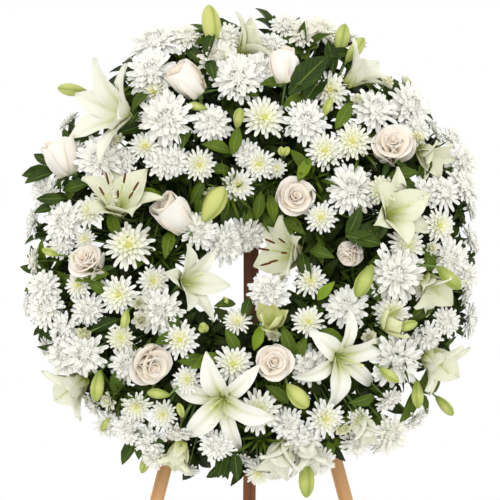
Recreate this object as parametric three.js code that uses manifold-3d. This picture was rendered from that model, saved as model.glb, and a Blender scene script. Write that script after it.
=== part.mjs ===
// Funeral wreath on a folding wooden easel.
// Millimetres, +Z up, the viewer stands at -Y. The origin is on the floor, under the middle of the object.
import * as THREE from "three";
import { mergeVertices } from "three/addons/utils/BufferGeometryUtils.js";
import Module from "manifold-3d";

const wasm = await Module();
wasm.setup();

// ---- Driving dimensions ----

const GAP = 0.3; // air between two pieces that touch
const LEAN = THREE.MathUtils.degToRad(10); // how far the easel's front leans back
const WREATH_HEIGHT = 1050; // from the floor to the wreath's middle

// Foam ring in its plastic tray. Depths are measured forward from the tray's back.
const RING = { inner: 112, outer: 188, wall: 2.5, trayDepth: 18, foamDepth: 52, bevel: 12, segments: 32 };

// Wooden parts: width across, depth front to back.
const LEG = { width: 19, depth: 19, slope: 0.2545, halfGap: 48.2, cut: 1300 };
const MAST = { width: 22, depth: 18, top: 172, bottom: -165 };
const CROSSBAR = { length: 226, height: 50, depth: 18, middle: -140 };
const PEG = { radius: 5, reach: 40, sunk: 12, sides: 12 };

// The folding rear leg and its hinge, with the pin behind the crossbar.
const REAR_LEG_ANGLE = THREE.MathUtils.degToRad(32); // between the easel's front and the open leg
const HEEL = 20; // how far the leg runs up past the pin, to stop against the crossbar
const HINGE = { width: 40, knuckle: 18, plate: 1.5, tall: 26, barrel: 3.2, pinDrop: -136, sides: 12 };
const PIN = { radius: 1.5, bore: 1.9, head: 2.6, headTall: 1.2 };
const SCREW = { shank: 1.7, head: 3.6, headTall: 1.4, sides: 8 };

// Cut stems: they start inside the foam, on a circle through its middle.
const STEM = {
  radius: 2.6,
  branch: 1.7,
  sides: 6,
  circle: 150,
  depth: 26,
  start: 10,
  fork: 0.5,
  leastFork: 48,
};

// The blooms' faces lie on a dome over the ring.
const DOME = { edge: 50, rise: 65, middle: 180, reach: 152 };

const LOOKS = {
  wood: { color: 0xc48a55, roughness: 0.6, metalness: 0 },
  steel: { color: 0xa8aaad, roughness: 0.35, metalness: 0.9 },
  tray: { color: 0x2f4a2c, roughness: 0.5, metalness: 0 },
  foam: { color: 0x3c5a34, roughness: 0.95, metalness: 0 },
  rose: { color: 0xf3e8dc, roughness: 0.6, metalness: 0 },
  lily: { color: 0xeef1da, roughness: 0.5, metalness: 0 },
  mum: { color: 0xf6f6f3, roughness: 0.7, metalness: 0 },
  leaf: { color: 0x2f5a26, roughness: 0.4, metalness: 0 },
};

// The planting plan: each cut stem with its heads. A head is [kind, right, up, lift off the dome, size, facing],
// in the wreath's own plane. Its size is a radius, or a length for a bud or a leaf. Its facing gives shares of
// right, front and up, and a head without one looks along its stem.
const PLANTING = {
  rose_left_outer: ["rose", [["rose", -268, 136, 0, 24, [-4, 4, 8]]]],
  rose_top_left: ["rose", [["rose", -94, 236, 5, 27, [-4, 6, 6]]]],
  rose_top: ["rose", [["rose", 45, 256, 0, 20, [1, 4, 9]]]],
  rose_right_upper: ["rose", [["rose", 197, 142, 5, 30, [2, 9, 2]]]],
  rose_inner_left: ["rose", [["rose", -115, 46, 0, 28, [-4, 9, 1]]]],
  rose_left: ["rose", [["rose", -231, -24, 5, 27, [-2, 9, 0]]]],
  rose_inner_top: ["rose", [["rose", 58, 67, 0, 26, [1, 9, -1]]]],
  rose_inner_right: ["rose", [["rose", 133, -17, 0, 20, [-5, 6, -5]]]],
  rose_lower_left: ["rose", [["rose", -140, -172, 5, 27, [0, 8, -4]]]],
  rose_bottom: ["rose", [["rose", 26, -167, 5, 27, [1, 9, 0]]]],
  lily_upper_left: ["lily", [
    ["lily", -203, 200, 5, 46, [-8, 4, 3]],
    ["bud", -245, 202, -42, 36, [-9, 1, 1]],
  ]],
  lily_left: ["lily", [["lily", -190, 62, 0, 48, [2, 6, 7]]]],
  lily_hole_left: ["lily", [["lily", -82, -52, 5, 38, [7, 6, 1]]]],
  lily_hole_right: ["lily", [["lily", 42, -10, 0, 38, [-8, 4, -2]]]],
  lily_right: ["lily", [["lily", 203, 46, 5, 46, [7, 7, 1]]]],
  lily_lower_right: ["lily", [
    ["lily", 129, -172, 15, 54, [1, 9, -2]],
    ["bud", 183, -183, 30, 26, [6, 4, -5]],
  ]],
  lily_bottom: ["lily", [
    ["lily", -50, -234, 15, 54, [-1, 8, -4]],
    ["bud", -154, -307, -30, 31, [-3, 1, -9]],
  ]],
  lily_lower_left: ["lily", [
    ["lily", -250, -200, -10, 36, [-7, 2, -7]],
    ["bud", -214, -196, 0, 45, [-1, 2, -9]],
  ]],
  lily_top: ["lily", [
    ["lily", -5, 304, -25, 36, [5, -1, 8]],
    ["bud", -58, 318, -10, 60, [-1, 0, 9]],
  ]],
  lily_top_right: ["lily", [
    ["lily", 160, 246, 5, 34, [6, 2, 7]],
    ["bud", 129, 295, -10, 46, [2, 0, 9]],
  ]],
  lily_right_outer: ["lily", [
    ["lily", 257, -68, 0, 34, [-2, 3, -9]],
    ["bud", 269, -52, 35, 42, [6, 3, -7]],
  ]],
  lily_right_lower: ["lily", [
    ["lily", 262, -166, -5, 38, [7, 3, -6]],
    ["bud", 227, -209, 0, 35, [0, 2, -9]],
  ]],
  bud_upper: ["lily", [["bud", -20, 176, 12, 32, [1, 7, 5]]]],
  bud_bottom: ["lily", [["bud", 72, -325, 0, 50, [0, 1, -9]]]],
  mum_spray_top_left: ["mum", [
    ["mum", -123, 178, 10, 27],
    ["mum", -144, 248, 0, 25],
    ["mum", -144, 288, -15, 24],
  ]],
  mum_spray_top: ["mum", [
    ["mum", -57, 175, 0, 22],
    ["mum", -21, 238, 0, 26],
    ["mum", -52, 262, -20, 18],
  ]],
  mum_spray_top_right: ["mum", [
    ["mum", 76, 175, 0, 24],
    ["mum", 141, 147, 0, 20],
    ["mum", 102, 131, 0, 20],
  ]],
  mum_spray_right_upper: ["mum", [["mum", 176, 197, 5, 26], ["mum", 231, 199, 0, 26]]],
  mum_spray_right: ["mum", [
    ["mum", 266, 27, 0, 20],
    ["mum", 274, 80, 0, 26],
    ["mum", 217, -1, 0, 20],
  ]],
  mum_spray_right_lower: ["mum", [["mum", 192, -97, 0, 20], ["mum", 202, -47, 5, 26]]],
  mum_spray_lower_right: ["mum", [["mum", 193, -259, -10, 22], ["mum", 130, -281, -10, 20]]],
  mum_spray_bottom: ["mum", [["mum", 6, -234, 0, 24], ["mum", 6, -318, -20, 18]]],
  mum_spray_lower_left: ["mum", [["mum", -102, -134, 0, 20], ["mum", -162, -228, 0, 20]]],
  mum_spray_left_lower: ["mum", [
    ["mum", -188, -73, 0, 22],
    ["mum", -235, -152, 5, 25],
    ["mum", -294, -75, -5, 25],
  ]],
  mum_spray_left: ["mum", [
    ["mum", -174, -1, 5, 26],
    ["mum", -294, 77, -10, 22],
    ["mum", -265, 34, 0, 25],
  ]],
  mum_spray_inner_top: ["mum", [["mum", -74, 112, 0, 20], ["mum", -21, 83, 0, 20]]],
  mum_spray_hole_top: ["mum", [["mum", -32, 4, -25, 20], ["mum", -2, 16, -20, 19]]],
  mum_spray_inner_bottom: ["mum", [
    ["mum", 80, -49, 0, 20],
    ["mum", 76, -108, 0, 20],
    ["mum", 22, -70, -10, 20],
  ]],
  leaf_spray_bottom: ["leaf", [
    ["leaf", -45, -306, -25, 50, [-1, 1, -9]],
    ["leaf", -24, -310, -45, 50, [1, 1, -9]],
  ]],
};

// ---- Solids: three.js geometry in, booleans by manifold-3d, three.js geometry out ----

function toSolid(geometry) {
  const bare = geometry.clone();
  for (const name of Object.keys(bare.attributes)) {
    if (name !== "position") bare.deleteAttribute(name);
  }
  const merged = mergeVertices(bare, 1e-3);
  const triVerts = new Uint32Array(merged.index.array);
  const vertProperties = merged.attributes.position.array;
  return new wasm.Manifold(new wasm.Mesh({ numProp: 3, vertProperties, triVerts }));
}

function toGeometry(solid) {
  const mesh = solid.getMesh();
  const geometry = new THREE.BufferGeometry();
  geometry.setAttribute("position", new THREE.BufferAttribute(mesh.vertProperties, 3));
  geometry.setIndex(new THREE.BufferAttribute(mesh.triVerts, 1));
  const flat = geometry.toNonIndexed();
  flat.computeVertexNormals();
  return flat;
}

function join(geometries) {
  return toGeometry(geometries.map(toSolid).reduce((whole, piece) => whole.add(piece)));
}

function cut(geometry, tools) {
  return toGeometry(tools.map(toSolid).reduce((left, tool) => left.subtract(tool), toSolid(geometry)));
}

// A box given by its low and high corners.
function block([x0, y0, z0], [x1, y1, z1]) {
  const box = new THREE.BoxGeometry(x1 - x0, y1 - y0, z1 - z0);
  return box.translate((x0 + x1) / 2, (y0 + y1) / 2, (z0 + z1) / 2);
}

// A profile of [radius, height] points, turned round the +Y axis.
function turned(profile, sides) {
  const points = profile.map(([radius, height]) => new THREE.Vector2(radius, height));
  return new THREE.LatheGeometry(points, sides);
}

// Turns a shape that stands along +Y so that it stands along a direction, with its foot at a point.
function aim(geometry, foot, direction) {
  const turn = new THREE.Quaternion().setFromUnitVectors(new THREE.Vector3(0, 1, 0), direction);
  return geometry.applyQuaternion(turn).translate(foot.x, foot.y, foot.z);
}

function rod(from, to, radius, sides = STEM.sides) {
  const along = to.clone().sub(from);
  const length = along.length();
  return aim(turned([[0, 0], [radius, 0], [radius, length], [0, length]], sides), from, along.normalize());
}

// A screw whose head sits on the face at a point, and whose shank runs along a direction.
function screwAt(at, direction, length, slack = 0) {
  const { shank, head, headTall, sides } = SCREW;
  const shankRadius = shank + slack;
  const profile = [
    [0, -headTall],
    [head * 0.7, -headTall],
    [head, -headTall * 0.4],
    [head, -GAP / 2],
    [shankRadius, -GAP / 2],
    [shankRadius, length - 3],
    [0, length + slack],
  ];
  return aim(turned(profile, sides), at, direction);
}

// The hole that a screw sits in.
function screwHole(at, direction, length) {
  const start = at.clone().addScaledVector(direction, -GAP);
  const end = at.clone().addScaledVector(direction, length + 2 * GAP);
  return rod(start, end, SCREW.shank + GAP, SCREW.sides);
}

// ---- The scene graph: the easel's front leans back about the wreath's middle ----
// Inside it, X runs right, Y runs back from the tray's back face, and Z runs up the wreath.

const root = new THREE.Group();
const leaning = new THREE.Group();
leaning.position.z = WREATH_HEIGHT;
leaning.rotation.x = -LEAN;
root.add(leaning);
leaning.updateMatrixWorld(true);

// Everything below the floor, seen from the leaning group.
const toLeaning = leaning.matrixWorld.clone().invert();
const belowFloor = block([-2000, -2000, -600], [2000, 2000, 0]).applyMatrix4(toLeaning);

const BACK = new THREE.Vector3(0, 1, 0);
const FRONT = new THREE.Vector3(0, -1, 0);

function addNode(name, geometry, look) {
  const mesh = new THREE.Mesh(geometry, new THREE.MeshStandardMaterial(LOOKS[look]));
  mesh.name = name;
  leaning.add(mesh);
}

// ---- Easel front: two splayed legs, a crossbar, and a mast with the peg that the ring hangs on ----

const mastBack = GAP + MAST.depth;
const crossbarFront = mastBack + GAP;
const crossbarBack = crossbarFront + CROSSBAR.depth;
const legFront = crossbarBack + GAP;
const legBack = legFront + LEG.depth;

const legScrews = [];
for (const [side, sideName] of [[-1, "left"], [1, "right"]]) {
  for (const [rise, level] of [[13, "upper"], [-13, "lower"]]) {
    const height = CROSSBAR.middle + rise;
    const at = new THREE.Vector3(side * (LEG.halfGap - LEG.slope * height), crossbarFront, height);
    legScrews.push({ name: `leg_screw_${sideName}_${level}`, side, at, length: 32 });
  }
}

const mastScrewSink = 6;
const mastScrews = [[12, "upper"], [-12, "lower"]].map(([rise, level]) => {
  const at = new THREE.Vector3(0, GAP + mastScrewSink, CROSSBAR.middle + rise);
  return { name: `mast_screw_${level}`, at, length: 25 };
});

const holes = (screws, direction = BACK) =>
  screws.map(({ at, length }) => screwHole(at, direction, length));

function frontLeg(side) {
  const top = CROSSBAR.middle + CROSSBAR.height / 2;
  const bar = block([-LEG.width / 2, legFront, -LEG.cut], [LEG.width / 2, legBack, 60]);
  bar.rotateY(-side * Math.atan(LEG.slope)).translate(side * (LEG.halfGap - LEG.slope * top), 0, top);
  const aboveCrossbar = block([-400, 0, top], [400, 200, top + 200]);
  const ownScrews = legScrews.filter((screw) => screw.side === side);
  return cut(bar, [belowFloor, aboveCrossbar, ...holes(ownScrews)]);
}

const pegHeight = RING.inner * Math.cos(Math.PI / RING.segments) - PEG.radius - GAP;
const pegFoot = new THREE.Vector3(0, PEG.sunk, pegHeight);
const pegTip = new THREE.Vector3(0, -PEG.reach, pegHeight);

function mast() {
  const board = block([-MAST.width / 2, GAP, MAST.bottom], [MAST.width / 2, mastBack, MAST.top]);
  const socketEnd = pegFoot.clone().addScaledVector(BACK, GAP);
  const counterbores = mastScrews.map(({ at }) => {
    const mouth = at.clone().addScaledVector(FRONT, mastScrewSink + 2);
    return rod(mouth, at, SCREW.head + 2 * GAP, SCREW.sides);
  });
  const socket = rod(pegTip, socketEnd, PEG.radius + GAP, PEG.sides);
  return cut(board, [socket, ...holes(mastScrews), ...counterbores]);
}

// ---- Rear leg and hinge, drawn folded flat with the pin at the origin, then swung open ----

const pinAt = new THREE.Vector3(0, crossbarBack + GAP + HINGE.barrel, HINGE.pinDrop);
const pinToFace = GAP + HINGE.barrel; // from the pin's axis to the crossbar's back and to the leg's front
const pinToPlate = HINGE.barrel - HINGE.plate;
const place = (geometry) => geometry.translate(pinAt.x, pinAt.y, pinAt.z);
const swing = (geometry) => place(geometry.rotateX(REAR_LEG_ANGLE));
const acrossPin = (from, to, radius) =>
  rod(new THREE.Vector3(from, 0, 0), new THREE.Vector3(to, 0, 0), radius, HINGE.sides);

const frameLeafScrews = [[-1, "left"], [1, "right"]].map(([side, name]) => ({
  name: `hinge_screw_frame_${name}`,
  at: new THREE.Vector3(side * 14.5, -pinToPlate, -HINGE.tall * 0.6),
  length: 14,
}));
const legLeafScrews = [[0.4, "upper"], [0.78, "lower"]].map(([share, name]) => ({
  name: `hinge_screw_leg_${name}`,
  at: new THREE.Vector3(0, pinToPlate, -HINGE.tall * share),
  length: 14,
}));

function frameLeaf() {
  const half = HINGE.width / 2;
  const plate = block([-half, -HINGE.barrel, -HINGE.tall], [half, -pinToPlate, 0]);
  const inner = HINGE.knuckle / 2 + GAP;
  const notch = block([-inner, -10, -HINGE.barrel - 2 * GAP], [inner, 10, 10]);
  const knuckles = [acrossPin(-half, -inner, HINGE.barrel), acrossPin(inner, half, HINGE.barrel)];
  const whole = join([cut(plate, [notch]), ...knuckles]);
  return place(cut(whole, [acrossPin(-half - 1, half + 1, PIN.bore), ...holes(frameLeafScrews, FRONT)]));
}

function legLeaf() {
  const half = HINGE.knuckle / 2;
  const plate = block([-half, pinToPlate, -HINGE.tall], [half, HINGE.barrel, 0]);
  const whole = join([plate, acrossPin(-half, half, HINGE.barrel)]);
  return swing(cut(whole, [acrossPin(-half - 1, half + 1, PIN.bore), ...holes(legLeafScrews)]));
}

function hingePin() {
  const reach = HINGE.width / 2 + GAP;
  const head = [
    acrossPin(-reach - PIN.headTall, -reach, PIN.head),
    acrossPin(reach, reach + PIN.headTall, PIN.head),
  ];
  return place(join([acrossPin(-reach - 1, reach + 1, PIN.radius), ...head]));
}

function rearLeg() {
  const bar = block([-LEG.width / 2, pinToFace, -LEG.cut], [LEG.width / 2, pinToFace + LEG.depth, HEEL]);
  const drilled = swing(cut(bar, holes(legLeafScrews)));
  const aheadOfCrossbar = block([-40, 0, HINGE.pinDrop], [40, crossbarBack + GAP, HINGE.pinDrop + 100]);
  return cut(drilled, [belowFloor, aheadOfCrossbar]);
}

function crossbar() {
  const { length, height, middle } = CROSSBAR;
  const low = [-length / 2, crossbarFront, middle - height / 2];
  const high = [length / 2, crossbarBack, middle + height / 2];
  const hingeHoles = holes(frameLeafScrews, FRONT).map(place);
  return cut(block(low, high), [...holes(legScrews), ...holes(mastScrews), ...hingeHoles]);
}

addNode("front_leg_left", frontLeg(-1), "wood");
addNode("front_leg_right", frontLeg(1), "wood");
addNode("crossbar", crossbar(), "wood");
addNode("mast", mast(), "wood");
addNode("hanging_peg", rod(pegTip, pegFoot, PEG.radius, PEG.sides), "wood");
addNode("rear_leg", rearLeg(), "wood");
addNode("hinge_leaf_frame", frameLeaf(), "steel");
addNode("hinge_leaf_leg", legLeaf(), "steel");
addNode("hinge_pin", hingePin(), "steel");
for (const { name, at, length } of [...legScrews, ...mastScrews]) {
  addNode(name, screwAt(at, BACK, length), "steel");
}
for (const { name, at, length } of frameLeafScrews) {
  addNode(name, place(screwAt(at, FRONT, length)), "steel");
}
for (const { name, at, length } of legLeafScrews) {
  addNode(name, swing(screwAt(at, BACK, length)), "steel");
}

// ---- Foam ring and tray, turned round the wreath's axis ----

// Stands a shape that was turned round +Y on the wreath's axis, so that its height runs forward.
const alongWreath = (geometry) => geometry.rotateZ(Math.PI);

function tray() {
  const { inner, outer, wall, trayDepth, segments } = RING;
  const profile = [
    [inner, 0],
    [outer, 0],
    [outer, trayDepth],
    [outer - wall, trayDepth],
    [outer - wall, wall],
    [inner + wall, wall],
    [inner + wall, trayDepth],
    [inner, trayDepth],
    [inner, 0],
  ];
  return alongWreath(turned(profile, segments));
}

function foam(sockets) {
  const { inner, outer, wall, foamDepth, bevel, segments } = RING;
  const low = inner + wall + GAP;
  const high = outer - wall - GAP;
  const back = wall + GAP;
  const profile = [
    [low, back],
    [high, back],
    [high, foamDepth - bevel],
    [high - bevel, foamDepth],
    [low + bevel, foamDepth],
    [low, foamDepth - bevel],
    [low, back],
  ];
  return cut(alongWreath(turned(profile, segments)), sockets);
}

// ---- Cut stems and their heads ----

function domeDepth(right, up) {
  const across = (Math.hypot(right, up) - DOME.middle) / DOME.reach;
  return DOME.edge + DOME.rise * Math.sqrt(Math.max(0, 1 - across * across));
}

const roseHead = (r) =>
  turned([[0, 0], [3, 0], [0.75 * r, 0.45 * r], [r, 1.05 * r], [0.8 * r, 1.6 * r], [0, 1.9 * r]], 9);

const mumHead = (r) =>
  turned([[0, 0], [3, 0], [0.92 * r, 0.35 * r], [r, 0.55 * r], [0.5 * r, 0.85 * r], [0, 0.8 * r]], 9);

const budHead = (length) => {
  const r = length * 0.22;
  return turned([[0, 0], [0.5 * r, 0], [r, 0.35 * length], [0.75 * r, 0.75 * length], [0, length]], 8);
};

// A lily's trumpet: six tepals make a star of its rim.
function lilyHead(r) {
  const length = 1.35 * r;
  const profile = [[0, 0], [4, 0], [0.2 * r, 0.4 * length], [0.5 * r, 0.8 * length], [r, length - 3]];
  const trumpet = turned([...profile, [r, length], [0.4 * r, 0.9 * length], [0, 0.75 * length]], 12);
  const points = trumpet.attributes.position;
  for (let i = 0; i < points.count; i++) {
    const x = points.getX(i);
    const z = points.getZ(i);
    const sixths = Math.round((Math.atan2(x, z) / Math.PI) * 6);
    const isNotch = Math.abs(sixths) % 2 === 1 && Math.hypot(x, z) > 0.9 * r;
    if (isNotch) points.setXYZ(i, 0.62 * x, points.getY(i), 0.62 * z);
  }
  return trumpet;
}

// A pointed oval blade.
function leafHead(length) {
  const half = length * 0.22;
  const thick = 1.6;
  const outline = [[0, 0], [half, 0.35 * length], [0.7 * half, 0.7 * length], [0, length]];
  const mirrored = outline.slice(1, -1).reverse().map(([x, y]) => [-x, y]);
  const shape = new THREE.Shape([...outline, ...mirrored].map(([x, y]) => new THREE.Vector2(x, y)));
  const blade = new THREE.ExtrudeGeometry(shape, { depth: thick, bevelEnabled: false });
  return blade.translate(0, 0, -thick / 2);
}

const HEADS = {
  rose: { make: roseHead, tall: (size) => 1.9 * size },
  mum: { make: mumHead, tall: (size) => 0.8 * size },
  lily: { make: lilyHead, tall: (size) => 1.35 * size },
  bud: { make: budHead, tall: (size) => size },
  leaf: { make: leafHead, tall: (size) => size },
};

function cutStem(heads) {
  const tips = heads.map(
    ([, right, up, lift]) => new THREE.Vector3(right, -domeDepth(right, up) - lift, up),
  );
  const middle = tips.reduce((sum, tip) => sum.add(tip), new THREE.Vector3()).divideScalar(tips.length);
  const around = Math.atan2(middle.z, middle.x);
  const core = new THREE.Vector3(
    STEM.circle * Math.cos(around),
    -STEM.depth,
    STEM.circle * Math.sin(around),
  );
  const course = middle.clone().sub(core);
  const forkReach = Math.max(STEM.fork * course.length(), STEM.leastFork);
  course.normalize();
  const foot = core.clone().addScaledVector(course, STEM.start);
  const fork = core.clone().addScaledVector(course, forkReach);
  const pieces = [rod(foot, fork, STEM.radius)];
  heads.forEach(([kind, , , , size, shares], i) => {
    const { make, tall } = HEADS[kind];
    const facing = shares ? new THREE.Vector3(shares[0], -shares[1], shares[2]) : tips[i].clone().sub(fork);
    facing.normalize();
    const neck = tips[i].clone().addScaledVector(facing, -tall(size) / 2);
    const start = fork.clone().addScaledVector(course, -4);
    pieces.push(rod(start, neck.clone().addScaledVector(facing, 2), STEM.branch));
    pieces.push(aim(make(size), neck, facing));
  });
  const socket = rod(foot.clone().addScaledVector(course, -GAP), fork, STEM.radius + GAP);
  return { geometry: join(pieces), socket };
}

const sockets = [];
for (const [name, [look, heads]] of Object.entries(PLANTING)) {
  const { geometry, socket } = cutStem(heads);
  addNode(name, geometry, look);
  sockets.push(socket);
}

addNode("foam_tray", tray(), "tray");
addNode("foam_ring", foam(sockets), "foam");

// The origin goes on the floor under the middle of the whole object.
const bounds = new THREE.Box3().setFromObject(root, true);
leaning.position.x -= (bounds.min.x + bounds.max.x) / 2;
leaning.position.y -= (bounds.min.y + bounds.max.y) / 2;

export default root;
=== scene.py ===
import random
from collections import namedtuple
from functools import partialmethod
from math import cos, hypot, pi, radians, sin, sqrt

import bpy
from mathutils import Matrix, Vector


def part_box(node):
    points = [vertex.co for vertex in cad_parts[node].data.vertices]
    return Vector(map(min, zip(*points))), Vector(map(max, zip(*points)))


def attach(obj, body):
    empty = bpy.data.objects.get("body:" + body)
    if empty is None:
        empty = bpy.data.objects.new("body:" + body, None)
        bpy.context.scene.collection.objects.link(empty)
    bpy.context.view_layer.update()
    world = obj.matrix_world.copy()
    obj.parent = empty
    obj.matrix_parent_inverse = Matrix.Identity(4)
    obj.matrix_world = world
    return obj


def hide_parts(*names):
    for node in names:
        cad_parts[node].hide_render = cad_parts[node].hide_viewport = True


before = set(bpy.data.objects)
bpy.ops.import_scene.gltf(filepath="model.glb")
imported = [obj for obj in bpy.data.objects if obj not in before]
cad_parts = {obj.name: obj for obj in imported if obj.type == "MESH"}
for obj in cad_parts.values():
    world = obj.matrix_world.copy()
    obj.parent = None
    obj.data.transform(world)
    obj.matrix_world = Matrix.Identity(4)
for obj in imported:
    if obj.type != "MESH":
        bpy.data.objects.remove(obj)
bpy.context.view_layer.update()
WREATH = "easel_and_wreath"

# A round funeral wreath of white chrysanthemums, lilies and roses on a wooden easel. The wreath hangs in a
# plane that leans back with the easel: places on it are given in millimetres to the right of the ring's
# centre, above it, and out in front of the tray's back.
LEAN = radians(10)
RIGHT = Vector((1, 0, 0))
FRONT = Vector((0, -cos(LEAN), sin(LEAN)))
UP = Vector((0, sin(LEAN), cos(LEAN)))
TRAY_LOW, TRAY_HIGH = (Vector(corner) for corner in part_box("foam_tray"))
CENTRE = (TRAY_LOW + TRAY_HIGH) / 2 - FRONT * 0.009
MM = 0.001
GOLDEN = 137.508  # degrees between neighbours in a spiral

# The band of blooms, from the ring's centre: its middle, how far it reaches either way, and its depth.
BAND = 180
BAND_OUT, BAND_IN = 143, 120
DOME_HALF, RIM_DEPTH, CROWN = 152, 50, 65

# How many degrees a bloom leans at the band's outer and inner rim, and at the most either way.
LEAN_OUT, LEAN_IN, MOST_OUT, MOST_IN = 58, 42, 66, 48


def place(u, v, n):
    return CENTRE + (RIGHT * u + UP * v + FRONT * n) * MM


def heading(right, front, up):
    return (RIGHT * right + FRONT * front + UP * up).normalized()


def dome(u, v):
    """How far the blooms stand in front of the tray's back at that place."""
    beyond = hypot(u, v) - BAND
    return RIM_DEPTH + CROWN * sqrt(max(0.0, 1 - (beyond / DOME_HALF) ** 2))


def outlook(u, v, share=1.0):
    """The way a bloom faces there: forward in the middle of the band, outward at its two rims."""
    far = hypot(u, v)
    beyond = far - BAND
    lean = beyond / BAND_OUT * LEAN_OUT if beyond > 0 else beyond / BAND_IN * LEAN_IN
    lean = radians(max(-MOST_IN, min(MOST_OUT, lean * share)))
    outward = (RIGHT * u + UP * v) / max(far, 1)
    return FRONT * cos(lean) + outward * sin(lean)


# ------ tree makers
class Value:
    """A socket in a node tree that takes part in sums like a number."""

    def __init__(self, maker, socket):
        self.maker = maker
        self.socket = socket

    def out(self, name):
        found = [s for s in self.socket.node.outputs if s.name == name and s.enabled]
        return Value(self.maker, found[0])

    def math(self, operation, *others):
        return self.maker.node("ShaderNodeMath", self, *others, operation=operation)

    def clip(self):
        return self.maker.node("ShaderNodeMath", self, 0.0, operation="ADD", use_clamp=True)

    __add__ = __radd__ = partialmethod(math, "ADD")
    __sub__ = partialmethod(math, "SUBTRACT")
    __mul__ = __rmul__ = partialmethod(math, "MULTIPLY")
    __truediv__ = partialmethod(math, "DIVIDE")
    __pow__ = partialmethod(math, "POWER")

    def __rsub__(self, other):
        return self.maker.node("ShaderNodeMath", other, self, operation="SUBTRACT")


class Maker:
    """Adds nodes to one tree."""

    def __init__(self, tree):
        self.tree = tree

    def node(self, kind, *values, **named):
        """A new node, with values for its first sockets. Names in lower case are its settings."""
        made = self.tree.nodes.new(kind)
        for name in filter(str.islower, named):
            setattr(made, name, named[name])
        shown = [s for s in made.inputs if s.enabled]
        for socket, value in zip(shown, values):
            self.feed(socket, value)
        for socket in shown:
            if socket.name in named:
                self.feed(socket, named[socket.name])
        outputs = [s for s in made.outputs if s.enabled]
        return Value(self, outputs[0] if outputs else None)

    def feed(self, socket, value):
        if isinstance(value, Value):
            self.tree.links.new(value.socket, socket)
        else:
            socket.default_value = value

    def attribute(self, name):
        return self.node("ShaderNodeAttribute", attribute_name=name).out("Fac")

    def attributes(self, *names):
        return [self.attribute(name) for name in names]

    def vector(self, x, y, z):
        return self.node("ShaderNodeCombineXYZ", x, y, z)

    def mix(self, amount, *colours):
        """From the first colour to the second one, each a colour card's code or a socket."""
        pair = [paint(c) if isinstance(c, str) else c for c in colours]
        return self.node("ShaderNodeMix", amount, *pair, data_type="RGBA")

    def noise(self, scale, detail=2.0, vector=None):
        source = vector or self.node("ShaderNodeTexCoord").out("Object")
        return self.node("ShaderNodeTexNoise", Vector=source, Scale=scale, Detail=detail).out("Fac")


def paint(code):
    """A colour card's code as the linear colour of a shader."""
    parts = [int(code[i : i + 2], 16) / 255 for i in (1, 3, 5)]
    linear = [c / 12.92 if c <= 0.04045 else ((c + 0.055) / 1.055) ** 2.4 for c in parts]
    return (*linear, 1.0)


class Finish(Maker):
    """A new material's tree, with the plain sockets of its main shader set from the start."""

    def __init__(self, name, **plain):
        self.material = bpy.data.materials.new(name)
        self.material.use_nodes = True
        super().__init__(self.material.node_tree)
        self.shader = next(n for n in self.tree.nodes if n.type == "BSDF_PRINCIPLED")
        for key, value in plain.items():
            self.shader.inputs[key.replace("_", " ")].default_value = value

    def dress(self, colour, roughness, height, distance, strength):
        """Feeds the shader with what changes over the surface and hands over the material."""
        self.feed(self.shader.inputs["Base Color"], colour)
        self.feed(self.shader.inputs["Roughness"], roughness)
        bump = self.node("ShaderNodeBump", Strength=strength, Distance=distance, Height=height)
        self.feed(self.shader.inputs["Normal"], bump)
        return self.material


# ------ finishes
def petal_finish(name, tip, foot, heart, reach, ribs, rough, warmth, relief, vein=0.0):
    """Petal white that turns to the foot's colour near the bloom's core and to the heart's inside it."""
    thin = dict(Subsurface_Weight=0.15, Subsurface_Scale=0.002, Subsurface_Radius=(1.0, 1.0, 0.9))
    m = Finish(name, Specular_IOR_Level=0.3, **thin)
    side, along, layer, tint = m.attributes("side", "along", "layer", "tint")
    mottled = m.noise(60.0, 3.0)
    near = ((reach - along) / reach).clip() ** 1.4
    outer = m.mix(tint.clip(), tip, heart)
    warm = m.mix((layer * 1.3 - 0.45).clip() * warmth, outer, heart)
    middle = (1.0 - side.math("ABSOLUTE") * 3.0).clip() * (1.0 - along * 1.1).clip()
    colour = m.mix((near * (0.75 + mottled * 0.4) + middle * vein).clip(), warm, foot)
    rib = (side * ribs).math("COSINE")
    return m.dress(colour, 0.52 + mottled * rough, rib + mottled * 0.8, relief, 0.6)


def leaf_finish(name, dark, light, rib):
    """Glossy leaf, darker or fresher by its tint, with a pale midrib and fine side veins."""
    m = Finish(name, Specular_IOR_Level=0.18)
    side, along, tint = m.attributes("side", "along", "tint")
    mottled = m.noise(45.0, 4.0)
    body = m.mix((tint + mottled * 0.5 - 0.25).clip(), dark, light)
    apart = side.math("ABSOLUTE")
    middle = (1.0 - apart * 9.0).clip()
    veins = ((along * 9.0 - apart * 2.2) * 6.283).math("SINE")
    colour = m.mix(middle * 0.5 + (veins * 0.05).clip(), body, rib)
    return m.dress(colour, 0.36 + mottled * 0.2, veins * 0.5 - middle, 0.0005, 0.5)


def bud_finish(name, green, pale):
    """A lily bud: green along its three grooves and at its foot, paler on its swellings."""
    m = Finish(name, Specular_IOR_Level=0.4)
    side, along, tint = m.attributes("side", "along", "tint")
    mottled = m.noise(70.0, 3.0)
    groove = (1.0 - side) ** 2.0
    swell = (1.0 - (along - 0.6).math("ABSOLUTE") * 1.6).clip()
    share = ((swell * 0.7 + tint) * (1.0 - groove * 0.7) + mottled * 0.25 - 0.1).clip()
    colour = m.mix(share, green, pale)
    streaks = m.noise(200.0)
    return m.dress(colour, 0.38 + mottled * 0.15, streaks, 0.0003, 0.4)


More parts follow.
